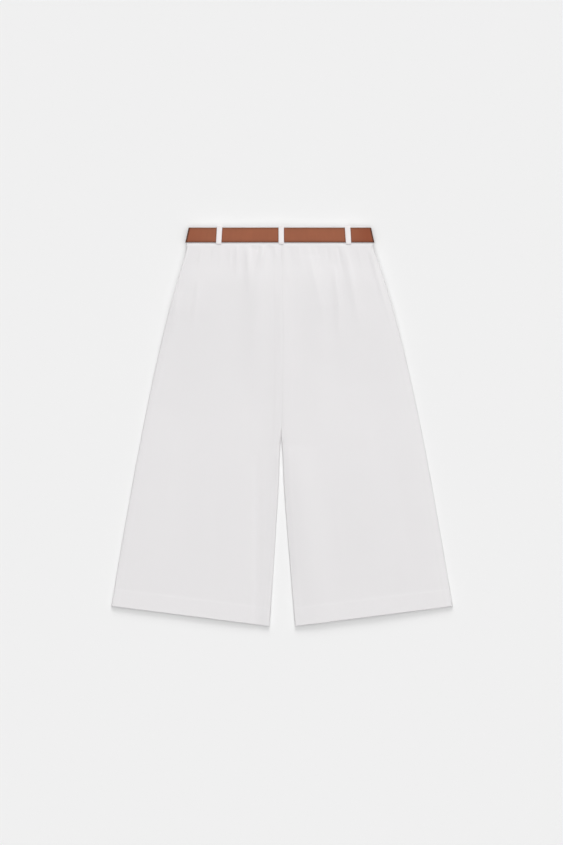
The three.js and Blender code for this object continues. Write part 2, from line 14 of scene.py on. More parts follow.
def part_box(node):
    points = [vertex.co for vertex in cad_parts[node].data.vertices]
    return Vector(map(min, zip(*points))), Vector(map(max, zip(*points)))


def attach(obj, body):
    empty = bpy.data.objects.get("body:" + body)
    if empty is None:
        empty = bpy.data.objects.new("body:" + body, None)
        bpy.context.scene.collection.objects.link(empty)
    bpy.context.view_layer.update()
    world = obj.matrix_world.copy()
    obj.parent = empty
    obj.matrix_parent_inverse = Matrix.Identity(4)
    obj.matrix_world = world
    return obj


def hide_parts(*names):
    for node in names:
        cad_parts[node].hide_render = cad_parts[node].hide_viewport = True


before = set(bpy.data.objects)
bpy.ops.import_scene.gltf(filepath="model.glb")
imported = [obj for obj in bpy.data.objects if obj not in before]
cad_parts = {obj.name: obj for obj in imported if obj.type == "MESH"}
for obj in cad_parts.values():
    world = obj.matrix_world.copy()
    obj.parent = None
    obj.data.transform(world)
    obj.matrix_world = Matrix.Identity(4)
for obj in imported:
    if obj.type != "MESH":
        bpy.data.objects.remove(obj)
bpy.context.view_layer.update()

MM = 0.001

# ---------------------------------------------------------------- sizes that the solids have too

SEAM = 0.3
SEWN = 0.04  # between two cloth edges that are sewn together, which the solids keep SEAM apart
CLOTH = 1.2
HEM_WALL = 2.0
HEM_DEPTH = 33

WAIST_HALF = 166.3  # centre line to side fold at the waist seam
WAIST_LEAN = 2.3  # the waist lies this far towards the wearer's left
LEAN_LENGTH = 18
LEG_LEAN = 1.8  # the legs' side seams lie this far towards the right
FLARE = 0.1613  # spread of each side for each millimetre of drop
HIP_SPRING = 35  # extra spread over the hip
HIP_LENGTH = 206
HIP_CURVE = 1.15
CINCH = 3.4  # the belt draws each side of the cloth below it in by about this much
CINCH_START = 9  # drop over which that begins
CINCH_LENGTH = 75  # drop over which most of it is lost

CROTCH_DROP = 343
OUTER_DROP = 643.8  # side seam, from waist seam to hem
INNER_DROP = 679.7  # lowest corner of each leg
LEG_GAP = {"left": 20.5, "right": 25}  # inseam to centre line at the hem
LEG_GAP_POWER = 1.15
SEAM_BOW = 3  # the centre back seam lies this far towards the right, halfway to the crotch

BAND_HEIGHT = 31.5
BAND_WALL = 1.6
BAND_TAPER = 0.22  # the band's side folds lean in by this share of its height
BAND_STACK = 3.9  # both waistband layers with the gap between them
FRONT_DIP = 10  # the front waist is cut lower than the back

BELT_WIDTH = 26.5
BELT_WALL = 1.5
BELT_DROP = -3.5  # lower edge of the belt
BELT_TIP_X = -130
BELT_SLACK = {"left": 0.8, "right": 1.3}  # the belt's folds stand off the band's by this much
BAR_ROOM = 1.3  # room inside the strap's fold for the hinge bar

LOOP_WIDTH = 9.5
LOOP_WALL = 1.4
LOOP_LEAN = 0.4  # share of the band's taper that the loops follow
LOOP_SETTLE = 1.3  # how far a back loop's foot settles into the gathered cloth
BACK_LOOPS = (-111, 0.4, 120.3)

STRAP_Z = BELT_WALL + SEAM
RUN_Z = STRAP_Z + BELT_WALL + BAR_ROOM
BAND_FRONT_Z = RUN_Z + BELT_WALL + SEAM
BAND_MIDDLE_Z = BAND_FRONT_Z + BAND_STACK / 2
BELT_BACK_Z = BAND_FRONT_Z + BAND_STACK + SEAM

PANEL_FRONT_Z = BAND_FRONT_Z + (BAND_WALL - CLOTH) / 2  # front panels at the waist seam
WAIST_SLOPE = 310  # drop over which the panels come down from the waist to the table
EDGE_SLACK = 0.5  # spare height inside the side folds
WAIST_EDGE_EXTRA = 0.3
LOFT = 2.8  # how far the back panels stand up over the front ones
LOFT_START = 70  # drop over which that begins
HEM_LOFT = 1.2
LEG_START = 90  # above the crotch, where each leg starts to come down to its own inseam
LEG_BLEND = 120
SIDE_FALL = {"left": 8, "right": 18}  # width over which the panels come down to a side seam
INSEAM_FALL = {"left": 30, "right": 11}  # 8 on the right in the solids
CROWN = 2.1  # rise of the back waist over the fly's layers
CROWN_HALF_WIDTH = 75
HEM_BLEND = 0.08  # share of the length over which the panels thicken towards the hem
FOLD_PEAK = 0.6  # under 1, so that a fold is deepest in its upper part

# The front panels lie this far up over the fly flap, inside these limits and softly at each.
FLY_ROOM = 1.4
FLY_HOLLOW = {"left": -58, "right": 30, "top": 40, "bottom": 215}
FLY_SOFTNESS = {"left": 20, "right": 20, "top": 50, "bottom": 40}

CENTRE_X = -LEG_LEAN  # places across are measured from the centre line, which lies here
TOP_DROP = -(BAND_HEIGHT + SEAM + LOOP_WALL)
MIDDLE_DROP = (TOP_DROP + INNER_DROP) / 2
HEM_START = 1 - HEM_DEPTH / INNER_DROP
HEM_TOP = INNER_DROP - HEM_DEPTH
SIDES = {"left": -1, "right": 1}

# ---------------------------------------------------------------- sizes of the cloth's details

CROTCH_VALLEY = 20  # length over which the centre seam sinks to the crotch
CROTCH_OPENING = 1.1  # each leg draws back by this much just below the crotch
OPENING_START = 14  # length over which that begins
OPENING_END = 105  # below the crotch, where it has faded out
OPENING_FADE = 80

PUFF_TOP = -2.9  # the back cloth swells up over the band as far as this, against the belt
PUFF_START = 0.35  # height of the swell at its top edge
PUFF_HEIGHT = 0.95  # what it gains over PUFF_RISE
PUFF_RISE = 4.4
PUFF_END = 46  # drop at which it has faded out
PUFF_FADE = 44

DETAIL_START = 25  # drop over which the seam allowances and waves begin, below the gathers
BACK_WAVES = [(0.32, 95, 3.0), (0.1, 31, 8.0)]  # height, size and seed of low unevenness
FRONT_WAVE = (0.12, 60, 14.0)
BACK_GROOVE = (0.24, 1.6)  # depth and half width of the centre seam's groove
FRONT_GROOVE = (0.5, 1.1)
GROOVE_END = 40  # length over which it ends above the crotch
ALLOWANCE = 13  # width of a seam allowance, which shows as a low step
ALLOWANCE_SOFTNESS = 3
SIDE_STEP = 0.18
SEAT_STEP = 0.2
HEM_STEP = 0.2  # height of the raised layer over the turned-up hem
HEM_STEP_WIDTH = 8
HEM_ROUNDING = 0.9  # depth and length of the rounding at the folded edge
HEM_ROUND_LENGTH = 1.3
HEM_LINE = 1.6  # half width of the line along which the hem is sewn
HEM_LINE_DEPTH = 0.25  # of that line on the front
PICK_DEPTH = 0.12  # of the dimple at each blind stitch
PICK_PITCH = 8.5

# Painted shade in the cloth's colour along its side folds and inseams. Where a value is negative,
# a painted highlight lightens the edge instead. The side folds' two values are for the waist and
# the leg.
SIDE_PAINTED_SHADE = {"left": (-0.9, 0.3), "right": (0.7, 1.0)}
INSEAM_PAINTED_SHADE = {"left": 0.3, "right": 0.07}
INSEAM_PAINTED_HIGHLIGHT = {"left": 0.0, "right": 0.8}
FOLD_SHADE_WIDTH = 2.4
INSEAM_SHADE_WIDTH = 26
SIDE_SHADE_START = 40  # drop below which the side folds' painted shade goes over from waist to leg
SIDE_SHADE_BLEND = 160
INSEAM_START = 60  # above the crotch, where the inseam's painted shade begins
INSEAM_BLEND = 120

# ---------------------------------------------------------------- folds and creases

# Columns: x, drop, drift, length, width and height. A fold starts at x and drop, and wanders
# across by drift. Heights are those of ridges, and a trough's is negative.
BACK_FOLDS = [
    (-59, 2, 2, 90, 6, 0.8),
    (-30.5, 0, -5, 46, 5.5, 1.0),
    (47, 4, 34, 150, 6.5, 0.75),
    (94, 36, 12, 150, 6.5, 0.85),
    (88, 110, 6, 210, 20, -0.8),
    (111, 0, 34, 170, 8, 1.25),
    (160, 8, 28, 120, 5, 0.5),
    (-147, 62, -14, 110, 5.5, 0.5),
    (-180, 84, -22, 110, 8, 0.6),
    (2, 70, 0, 420, 17, 1.7),
    (-150, 120, -60, 560, 45, -1.6),
    (-42, 370, 0, 480, 8, -1.2),
    (25, 360, 62, 420, 26, 2.0),
    (140, 250, 50, 900, 60, 1.3),
]
SEAT_FOLDS = [
    (-42, 10, -10, 250, 20, 2.6),
    (52, 20, 20, 190, 19, 1.6),
]
FRONT_FOLDS = [
    (-118, 2, -10, 150, 10, 1.0),
    (-84, 2, -5, 190, 10, 1.2),
    (80, 2, 6, 190, 10, 1.2),
    (114, 2, 12, 160, 10, 1.0),
]

# Finer creases, which only the cloth here has, in the same columns.
BACK_CREASES = [
    (-78.5, 0, -1.5, 58, 4.2, 1.15),
    (-91, 4, 0, 40, 3, 0.5),
    (-60, 2, 2, 70, 5, 0.45),
    (-49, 2, 0, 44, 4, -0.75),
    (-31, 0, -12, 58, 4.6, 1.15),
    (-38, 1, -7, 30, 2.2, -0.35),
    (-19.5, 0, 0, 28, 4, -0.8),
    (-10, 1, 1, 30, 3.5, 0.45),
    (5, 2, 3, 60, 5, 0.5),
    (17, 4, 0, 60, 6, -0.5),
    (31, 1, 4, 40, 4, 0.4),
    (60, 6, 4, 44, 3, 0.45),
    (81, 3, 6, 40, 3, -0.35),
    (96, 44, 10, 92, 4.6, 0.75),
    (101, 3, 12, 60, 3, -0.5),
    (112, 2, 22, 90, 5, 0.35),
    (136, 2, 8, 44, 3.5, 0.35),
    (158, 6, 26, 100, 4, 0.4),
    (-106, 2, -3, 40, 3, 0.35),
    (-124, 3, -5, 36, 3, -0.35),
    (-141, 2, -6, 50, 3.5, 0.35),
    (-147, 62, -14, 110, 4.6, 0.5),
    (-181, 84, -22, 120, 8, 0.7),
    (-10, 90, 2, 120, 6, -0.35),
    (24, 150, 8, 240, 9, 0.35),
    (60, 230, 12, 160, 7, 0.25),
    (-66, 250, -16, 200, 9, 0.35),
    (146, 280, 30, 220, 10, 0.3),
    (-186, 330, -30, 210, 9, 0.3),
    (-112, 430, -14, 200, 8, -0.25),
    (96, 440, 18, 190, 8, 0.3),
    (206, 400, 34, 220, 9, -0.25),
]
FRONT_CREASES = [
    (-132, 2, -6, 60, 3.5, 0.4),
    (-101, 3, -4, 70, 3, 0.4),
    (-68, 2, -2, 50, 3, 0.35),
    (-50, 4, 2, 80, 3.5, 0.3),
    (52, 2, 2, 64, 3, 0.35),
    (66, 4, 3, 90, 3.5, 0.35),
    (97, 2, 5, 60, 3, 0.4),
    (134, 3, 8, 70, 3.5, 0.35),
]

# ---------------------------------------------------------------- form of the cloth


def lerp(start, end, share):
    return start + (end - start) * share


def ease(share):
    share = np.clip(share, 0, 1)
    return share * share * (3 - 2 * share)


def y_at(drop):
    return MIDDLE_DROP - drop


def side_reach(sign, drop):
    """Centre line to the side fold, on the side with this sign."""
    below = np.maximum(0, drop)
    lean = WAIST_LEAN * np.exp(-below / LEAN_LENGTH) - LEG_LEAN * ease(below / CROTCH_DROP)
    spread = FLARE * below + HIP_SPRING * (1 - np.exp(-((below / HIP_LENGTH) ** HIP_CURVE)))
    return WAIST_HALF + spread - sign * lean + BAND_TAPER * np.minimum(0, drop)


def cinch(drop):
    """How far the belt draws each side of the cloth below it in."""
    return CINCH * ease(drop / CINCH_START) * np.exp(-drop / CINCH_LENGTH)


def inner_reach(side, face, drop):
    """Centre line to the centre seam, and below the crotch to the inseam."""
    share = np.clip((drop - CROTCH_DROP) / (INNER_DROP - CROTCH_DROP), 0, 1)
    bow = np.sin(np.pi * np.clip(drop / CROTCH_DROP, 0, 1)) * (face == "back")
    below = drop - CROTCH_DROP
    closing = ease((OPENING_END - below) / OPENING_FADE)
    opening = CROTCH_OPENING * ease(below / OPENING_START) * closing
    gap = SEWN / 2 + LEG_GAP[side] * share**LEG_GAP_POWER + opening
    return gap + SIDES[side] * SEAM_BOW * bow


def front_dip(x):
    """How far the front waist lies below the back one."""
    return FRONT_DIP * np.cos(np.pi * np.clip(x / WAIST_HALF, -1, 1) / 2) ** 2


def waist_fall(drop):
    """Share of the waist's height that the panels still have at this drop."""
    return ease(1 - (drop - FRONT_DIP) / WAIST_SLOPE)


def hem_rise(length):
    """Share by which the wall has thickened towards the hem."""
    return ease(1 - (HEM_START - length) / HEM_BLEND)


def edge_stack(drop, length):
    """Height of the side fold: both walls, the gap and the fold's spare height."""
    wall = lerp(CLOTH, HEM_WALL, hem_rise(length))
    return 2 * wall + SEAM + EDGE_SLACK + WAIST_EDGE_EXTRA * waist_fall(drop)


def fold_height(folds, x, drop):
    """Height of the folds of a table at x and drop."""
    total = np.zeros(np.broadcast(x, drop).shape)
    for start_x, start, drift, length, width, height in folds:
        along = np.clip((drop - start) / length, 0, 1)
        across = (x - start_x - drift * along) / width
        total += height * np.sin(np.pi * along**FOLD_PEAK) * np.exp(-across * across)
    return total


def crown(x):
    """Rise of the back over the layers of the fly."""
    return CROWN * np.exp(-((x / CROWN_HALF_WIDTH) ** 2))


def front_underside(x, drop):
    """Height of the front's outside, which lies towards the table."""
    fly = ease((x - FLY_HOLLOW["left"]) / FLY_SOFTNESS["left"])
    fly = fly * ease((FLY_HOLLOW["right"] - x) / FLY_SOFTNESS["right"])
    fly = fly * ease((drop - FLY_HOLLOW["top"]) / FLY_SOFTNESS["top"])
    fly = fly * ease((FLY_HOLLOW["bottom"] - drop) / FLY_SOFTNESS["bottom"])
    folds = fold_height(FRONT_FOLDS, x, drop) + fold_height(SEAT_FOLDS, x, drop)
    return PANEL_FRONT_Z * waist_fall(drop) + FLY_ROOM * fly + folds


def crotch_turn(drop):
    """0 where the centre seam joins the legs, and 1 where each inseam is a fold of its own."""
    return ease((drop - CROTCH_DROP + CROTCH_VALLEY) / CROTCH_VALLEY)


def loft_at(side, drop, length, from_inseam, from_side):
    """Swell of the back between the waist, the side fold and the inseam."""
    leg_share = ease((drop - CROTCH_DROP + LEG_START) / LEG_BLEND)
    side_rise = 1 - np.exp(-from_side / SIDE_FALL[side])
    inseam_rise = 1 - leg_share * np.exp(-from_inseam / INSEAM_FALL[side])
    height = lerp(LOFT, HEM_LOFT, hem_rise(length)) * ease(drop / LOFT_START)
    return height * side_rise * inseam_rise


def waist_puff(x, drop):
    """Swell of the gathered cloth just below the belt."""
    swell = PUFF_START + PUFF_HEIGHT * ease((drop - PUFF_TOP) / PUFF_RISE)
    uneven = 0.85 + 0.15 * np.sin(x / 7.3) * np.sin(x / 17.0 + 1)
    return swell * uneven * ease((PUFF_END - drop) / PUFF_FADE)


def soft_noise(x, drop, size, seed):
    """Smooth noise from -1 to 1 over x and drop, with forms about as large as size."""
    flat = zip(np.ravel(x) / size, np.ravel(drop) / (size * 1.6))
    values = [noise.noise(Vector((a, b, seed))) for a, b in flat]
    return np.array(values).reshape(np.shape(x))


def hem_rounding(from_edge):
    """How much the hem's folded edge is rounded off."""
    inside = np.clip(1 - from_edge / HEM_ROUND_LENGTH, 0, 1)
    return HEM_ROUNDING * (1 - np.sqrt(1 - inside**2))


def hem_form(length_drop):
    """Raised layer of the turned-up hem, and the rounding of its folded edge."""
    from_edge = INNER_DROP - length_drop
    step = HEM_STEP * ease((HEM_DEPTH - from_edge) / HEM_STEP_WIDTH + 0.5)
    return step - hem_rounding(from_edge)


def hem_picks(place, length_drop):
    """Dimples where the blind stitches of the hem catch the cloth."""
    from_top = (INNER_DROP - length_drop) - HEM_DEPTH
    beat = np.clip(np.cos(2 * np.pi * place / PICK_PITCH), 0, 1) ** 6
    return -PICK_DEPTH * beat * np.exp(-((from_top / HEM_LINE) ** 2))


def seam_groove(place, drop, depth, half_width):
    """Hollow along the centre seam, which ends at the crotch."""
    above_crotch = 1 - ease((drop - CROTCH_DROP + GROOVE_END) / GROOVE_END)
    return depth * np.exp(-((place / half_width) ** 2)) * above_crotch


def allowance_step(height, from_seam):
    """Low step of a seam allowance that lies under the cloth."""
    return height * ease((ALLOWANCE - from_seam) / ALLOWANCE_SOFTNESS + 0.5)


def back_details(x, drop, place, length_drop, width):
    """What the back has on top of the solid's form."""
    allowances = allowance_step(SIDE_STEP, width - place) + allowance_step(SEAT_STEP, place)
    waves = sum(height * soft_noise(x, drop, size, seed) for height, size, seed in BACK_WAVES)
    fade = ease(drop / DETAIL_START)
    return (
        fold_height(BACK_CREASES, x, drop)
        - seam_groove(place, drop, *BACK_GROOVE)
        + allowances * fade
        + waves * fade
        + waist_puff(x, drop)
        + hem_form(length_drop)
        + hem_picks(place, length_drop)
    )


def front_details(x, drop, place, length_drop):
    """Hollows of the front, which lies on the table and so has no form below its solid."""
    from_edge = INNER_DROP - length_drop
    hem_top = HEM_LINE_DEPTH * np.exp(-(((from_edge - HEM_DEPTH) / HEM_LINE) ** 2))
    height, size, seed = FRONT_WAVE
    waves = height * (1 + soft_noise(x, drop, size, seed)) * ease(drop / DETAIL_START)
    return (
        fold_height(FRONT_CREASES, x, drop)
        + seam_groove(place, drop, *FRONT_GROOVE)
        + hem_rounding(from_edge)
        + hem_top
        + waves
    )


def edge_painted_shade(side, place, drop):
    """Painted shade for the cloth's colour at its folds and inseams, and painted highlight where
    it is negative.
    """
    from_side = place.max(axis=1, keepdims=True) - place
    waist, leg = SIDE_PAINTED_SHADE[side]
    painted_shade = lerp(waist, leg, ease((drop - SIDE_SHADE_START) / SIDE_SHADE_BLEND))
    fold = painted_shade * np.exp(-((from_side / FOLD_SHADE_WIDTH) ** 2))
    inseam = INSEAM_PAINTED_SHADE[side] * np.exp(-((place / INSEAM_SHADE_WIDTH) ** 2))
    inseam = inseam - INSEAM_PAINTED_HIGHLIGHT[side] * np.exp(-((place / FOLD_SHADE_WIDTH) ** 2))
    return fold + inseam * ease((drop - CROTCH_DROP + INSEAM_START) / INSEAM_BLEND)


EDGE_STEPS = 6
FLAT_STEPS = {"front": 84, "back": 132}
HEM_SPACING = [(HEM_TOP - 4, 0.8), (HEM_TOP + 4, 3), (INNER_DROP - 3, 0.45), (INNER_DROP, 1)]
ROW_SPACING = {
    "front": [(0, 1.5), (6, 3), (60, 4), (200, 6), *HEM_SPACING],
    "back": [(0, 0.6), (9, 2.2), (60, 3.2), (200, 4.2), *HEM_SPACING],
}


def spaced_rows(breaks):
    """Shares of the panel's length from (drop, spacing) breaks."""
    parts = []
    for (start, spacing), (end, _) in zip(breaks, breaks[1:]):
        parts.append(np.linspace(start, end, max(2, round((end - start) / spacing) + 1))[:-1])
    drops = np.concatenate([*parts, [breaks[-1][0]]])
    return drops / INNER_DROP


def panel_points(side, face):
    """The outside of a panel as points [row][column], with each one's place across and its drops.

    A row runs from the inner edge, which is rolled over in EDGE_STEPS, to the side fold.
    """
    sign = SIDES[side]
    up = 1 if face == "back" else -1
    flat_steps = FLAT_STEPS[face]
    turns = np.arange(EDGE_STEPS) / EDGE_STEPS
    edge = np.concatenate([np.full(EDGE_STEPS, -1), np.zeros(flat_steps + 1), np.ones(EDGE_STEPS)])
    turned = np.concatenate([turns, np.ones(flat_steps + 1), turns[::-1]])[None, :]
    share = np.concatenate([turns * 0, np.linspace(0, 1, flat_steps + 1), turns * 0])[None, :]
    edge = edge[None, :]
    length = spaced_rows(ROW_SPACING[face])[:, None]

    inner_drop = INNER_DROP * length
    outer_drop = OUTER_DROP * length
    inner_x = inner_reach(side, face, inner_drop)
    width = side_reach(sign, outer_drop) - cinch(outer_drop) - inner_x
    roll = edge_stack(outer_drop, length) / 2
    sweep = np.pi / 2 * np.where(edge < 0, crotch_turn(inner_drop), 1.0)
    turn = np.pi / 2 - sweep * (1 - turned)
    from_edge = roll * (np.sin(sweep) - np.cos(turn) + (1 - np.sin(sweep)) * turned)
    place = roll + (width - 2 * roll) * share
    place = np.where(edge < 0, from_edge, np.where(edge > 0, width - from_edge, place))
    across = place / width
    x = sign * (inner_x + place)

    top = front_dip(sign * across * WAIST_HALF) - SEWN if up < 0 else PUFF_TOP
    drop = lerp(top, lerp(INNER_DROP, OUTER_DROP, across), length)
    length_drop = inner_drop + 0 * drop
    base = PANEL_FRONT_Z * waist_fall(drop)
    stack = edge_stack(drop, length)
    underside = front_underside(x, drop)
    if up > 0:
        bowed = base + stack + loft_at(side, drop, length, place, width - place)
        bowed = bowed + crown(x) * waist_fall(drop)
        bowed = bowed + fold_height(SEAT_FOLDS, x, drop) + fold_height(BACK_FOLDS, x, drop)
        surface = np.maximum(bowed, underside + stack - EDGE_SLACK + SEAM)
        surface = surface + back_details(x, drop, place, length_drop, width)
    else:
        surface = underside + front_details(x, drop, place, length_drop)
    seam = base + stack / 2 + up * SEWN / 2
    z = lerp(seam, surface, np.sin(turn))
    points = np.stack([CENTRE_X + x, y_at(drop), z], -1)
    return points, place, drop, length_drop


# ---------------------------------------------------------------- making meshes


def choose(piece):
    """Selects one object and nothing else."""
    for other in bpy.context.selected_objects:
        other.select_set(False)
    bpy.context.view_layer.objects.active = piece
    piece.select_set(True)


def apply_modifiers(piece):
    choose(piece)
    for modifier in list(piece.modifiers):
        bpy.ops.object.modifier_apply(modifier=modifier.name)


def smooth(piece, degrees):
    choose(piece)
    bpy.ops.object.shade_smooth_by_angle(angle=math.radians(degrees))


def new_piece(name, points, faces, uv=None):
    """An object from points in millimetres, with the cloth's own measure as its UV, in metres."""
    mesh = bpy.data.meshes.new(name)
    mesh.from_pydata((np.asarray(points) * MM).tolist(), [], faces)
    if uv is not None:
        layer = mesh.uv_layers.new(name="cut")
        corners = np.zeros(len(mesh.loops), dtype=np.int32)
        mesh.loops.foreach_get("vertex_index", corners)
        layer.data.foreach_set("uv", (np.asarray(uv)[corners] * MM).ravel())
    piece = bpy.data.objects.new(name, mesh)
    bpy.context.collection.objects.link(piece)
    return piece


def grid_faces(rows, columns, flip):
    """Quads between neighbouring rows and columns of points, turned round where flip is true."""
    index = np.arange(rows * columns).reshape(rows, columns)
    quads = np.stack([index[:-1, :-1], index[1:, :-1], index[1:, 1:], index[:-1, 1:]], -1)
    quads = quads.reshape(-1, 4)
    return (quads[:, ::-1] if flip else quads).tolist()


def finish_piece(piece, material, replaces=()):
    piece.data.materials.clear()
    piece.data.materials.append(material)
    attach(piece, "root")
    if replaces:
        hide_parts(*replaces)
    return piece


def store(piece, name, values):
    """Gives each point of a piece a value that its material reads."""
    attribute = piece.data.attributes.new(name, "FLOAT", "POINT")
    attribute.data.foreach_set("value", np.asarray(values, dtype=np.float32).ravel())


SHEET_WALL = 1.8  # wall at the hem
SINGLE_SHARE = 0.45  # share of it where the cloth isn't turned up


def cloth_panel(side, face, material):
    points, place, drop, length_drop = panel_points(side, face)
    inside_out = (SIDES[side] > 0) != (face == "back")
    faces = grid_faces(*place.shape, inside_out)
    uv = np.stack([place, drop], -1).reshape(-1, 2)
    piece = new_piece(f"{face}_cloth_{side}", points.reshape(-1, 3), faces, uv)

    hem = ease((length_drop - HEM_TOP) / HEM_LINE + 0.5).ravel()
    store(piece, "hem", hem)
    # Painted shade and painted highlight along the side folds and inseams, which the colour reads.
    store(piece, "painted_shade_and_highlight", edge_painted_shade(side, place, drop))
    wall = piece.vertex_groups.new(name="wall")
    for i, share in enumerate(hem):
        wall.add([i], float(lerp(SINGLE_SHARE, 1.0, share)), "REPLACE")
    solid = piece.modifiers.new("wall", "SOLIDIFY")
    solid.thickness = SHEET_WALL * MM
    solid.offset = -1
    solid.vertex_group = "wall"
    apply_modifiers(piece)
    smooth(piece, 50)
    finish_piece(piece, material, [f"{face}_panel_{side}"])


def dressed_copy(node, name, bevel):
    """A copy of a solid with its edges rounded."""
    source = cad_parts[node]
    mesh = source.data.copy()
    mesh.name = name
    piece = bpy.data.objects.new(name, mesh)
    bpy.context.collection.objects.link(piece)
    choose(piece)
    bpy.ops.object.mode_set(mode="EDIT")
    bpy.ops.mesh.select_all(action="SELECT")
    bpy.ops.mesh.remove_doubles(threshold=0.001 * MM)
    bpy.ops.mesh.tris_convert_to_quads(face_threshold=0.2, shape_threshold=3.1)
    bpy.ops.object.mode_set(mode="OBJECT")
    edges = piece.modifiers.new("edges", "BEVEL")
    edges.width = bevel * MM
    edges.segments = 3
    edges.limit_method = "ANGLE"
    edges.angle_limit = math.radians(50)
    apply_modifiers(piece)
    smooth(piece, 35)
    return piece


def settle_foot(piece):
    """Tilts a back loop's outside down towards its foot, where it meets the gathered cloth."""
    heights = [vertex.co.z for vertex in piece.data.vertices]
    lengths = [vertex.co.y for vertex in piece.data.vertices]
    middle = (min(heights) + max(heights)) / 2
    top, foot = max(lengths), min(lengths)
    for vertex in piece.data.vertices:
        if vertex.co.z > middle:
            vertex.co.z -= LOOP_SETTLE * MM * (top - vertex.co.y) / (top - foot)


# ---------------------------------------------------------------- materials


class Wire:
    """A node's output, on which plain arithmetic adds Math nodes."""

    def __init__(self, finish, socket):
        self.finish = finish
        self.socket = socket

    def math(self, operation, *others):
        values = dict(enumerate((self, *others)))
        return self.finish.node("ShaderNodeMath", {"operation": operation}, values)

    def __add__(self, other):
        return self.math("ADD", other)

    __radd__ = __add__

    def __sub__(self, other):
        return self.math("SUBTRACT", other)

    def __rsub__(self, other):
        return self.finish.node("ShaderNodeMath", {"operation": "SUBTRACT"}, {0: other, 1: self})

    def __mul__(self, other):
        return self.math("MULTIPLY", other)

    __rmul__ = __mul__

    def __pow__(self, power):
        return self.math("POWER", power)


class Finish:
    """A material under way."""

    def __init__(self, name):
        self.material = bpy.data.materials.new(name)
        self.material.use_nodes = True
        self.tree = self.material.node_tree
        self.tree.nodes.clear()

    def node(self, kind, settings=None, values=None, out=0):
        node = self.tree.nodes.new(kind)
        for key, value in (settings or {}).items():
            setattr(node, key, value)
        for key, value in (values or {}).items():
            if isinstance(value, Wire):
                self.tree.links.new(value.socket, node.inputs[key])
            else:
                node.inputs[key].default_value = value
        return None if out is None else Wire(self, node.outputs[out])

    def mixed(self, share, first, second):
        """The second colour over the first by share. The node's inputs 6 and 7 are its colours."""
        values = {"Factor": share, 6: first, 7: second}
        settings = {"data_type": "RGBA", "clamp_factor": True}
        return self.node("ShaderNodeMix", settings, values, out=2)

    def own_place(self):
        """Object coordinates, in metres."""
        return self.node("ShaderNodeTexCoord", out=3)

    def attribute(self, name):
        return self.node("ShaderNodeAttribute", {"attribute_name": name}, out=2)

    def split(self, place):
        """The first two coordinates of a place, each as a wire."""
        across = self.node("ShaderNodeSeparateXYZ", None, {"Vector": place})
        return across, Wire(self, across.socket.node.outputs[1])

    def stretched(self, place, along):
        """The place with its second coordinate scaled."""
        values = {"Vector": place, "Scale": (1.0, along, 1.0)}
        return self.node("ShaderNodeMapping", None, values)

    def noise(self, place, scale, detail):
        values = {"Vector": place, "Scale": scale, "Detail": detail}
        return self.node("ShaderNodeTexNoise", None, values)

    def bump(self, height, strength, distance):
        """A normal that height tilts. distance is in millimetres."""
        values = {"Height": height, "Strength": strength, "Distance": distance * MM}
        return self.node("ShaderNodeBump", None, values)

    def surface(self, values):
        shader = self.node("ShaderNodeBsdfPrincipled", None, values)
        self.node("ShaderNodeOutputMaterial", None, {"Surface": shader}, out=None)
        return self.material


def shade(colour, factor):
    return tuple(channel * factor for channel in colour)


def paint(colour):
    return (*colour, 1)


CLOTH_WHITE = (0.774, 0.76, 0.767)
LOOP_WHITE = (0.847, 0.813, 0.818)
LEATHER_TAN = (0.297, 0.0895, 0.0387)
LEATHER_RED = (0.252, 0.058, 0.018)
BRASS_DARK, BRASS_LIGHT = (0.56, 0.43, 0.26), (0.68, 0.55, 0.36)
THREAD_DARK, THREAD_LIGHT = (0.74, 0.73, 0.735), (0.84, 0.835, 0.84)
THREAD_PITCH = 0.55  # of the crepe's weave
RED_START = {"left": 0.13, "right": 0.112}  # metres from the middle, where the leather reddens
RED_RATE = {"left": 12, "right": 26}
LOOP_SHADOW_OFFSET = 0.7  # from a loop's edge to the middle of the painted shadow beside it
LOOP_SHADOW_WIDTH = 1.1


def crepe(name, own_measure, white=CLOTH_WHITE):
    """Off-white crepe: a fine plain weave with slubs, pebbled by twisted yarn."""
    finish = Finish(name)
    if own_measure:
        place = finish.node("ShaderNodeUVMap", {"uv_map": "cut"})
    else:
        place = finish.own_place()
    across, along = finish.split(place)
    turn = 2 * math.pi / (THREAD_PITCH * MM)
    weave = (across * turn).math("SINE") * (along * turn).math("SINE")
    pebble = finish.noise(place, 900, 3)
    slub = finish.noise(place, 160, 2)
    cloud = finish.noise(place, 14, 2)
    normal = finish.bump(weave * 0.2 + pebble * 1.1 + slub * 0.6, 0.55, 0.11)
    tone = (cloud - 0.5) * 0.5 + (pebble - 0.5) * 0.35 + 0.5
    colour = finish.mixed(tone, paint(shade(white, 0.985)), paint(shade(white, 1.015)))
    if own_measure:
        painted_shade_and_highlight = finish.attribute("painted_shade_and_highlight")
        colour = finish.mixed(finish.attribute("hem") * 0.6, colour, paint(shade(white, 1.02)))
        # Painted shade along the side folds and inseams, and a painted highlight where the value
        # is negative.
        colour = finish.mixed(painted_shade_and_highlight, colour, paint(shade(white, 0.9)))
        colour = finish.mixed(painted_shade_and_highlight * -1, colour, paint(shade(white, 1.1)))
    values = {
        "Base Color": colour,
        "Roughness": 0.86 + 0.08 * pebble,
        "Normal": normal,
        "Specular IOR Level": 0.22,
    }
    return finish.surface(values)


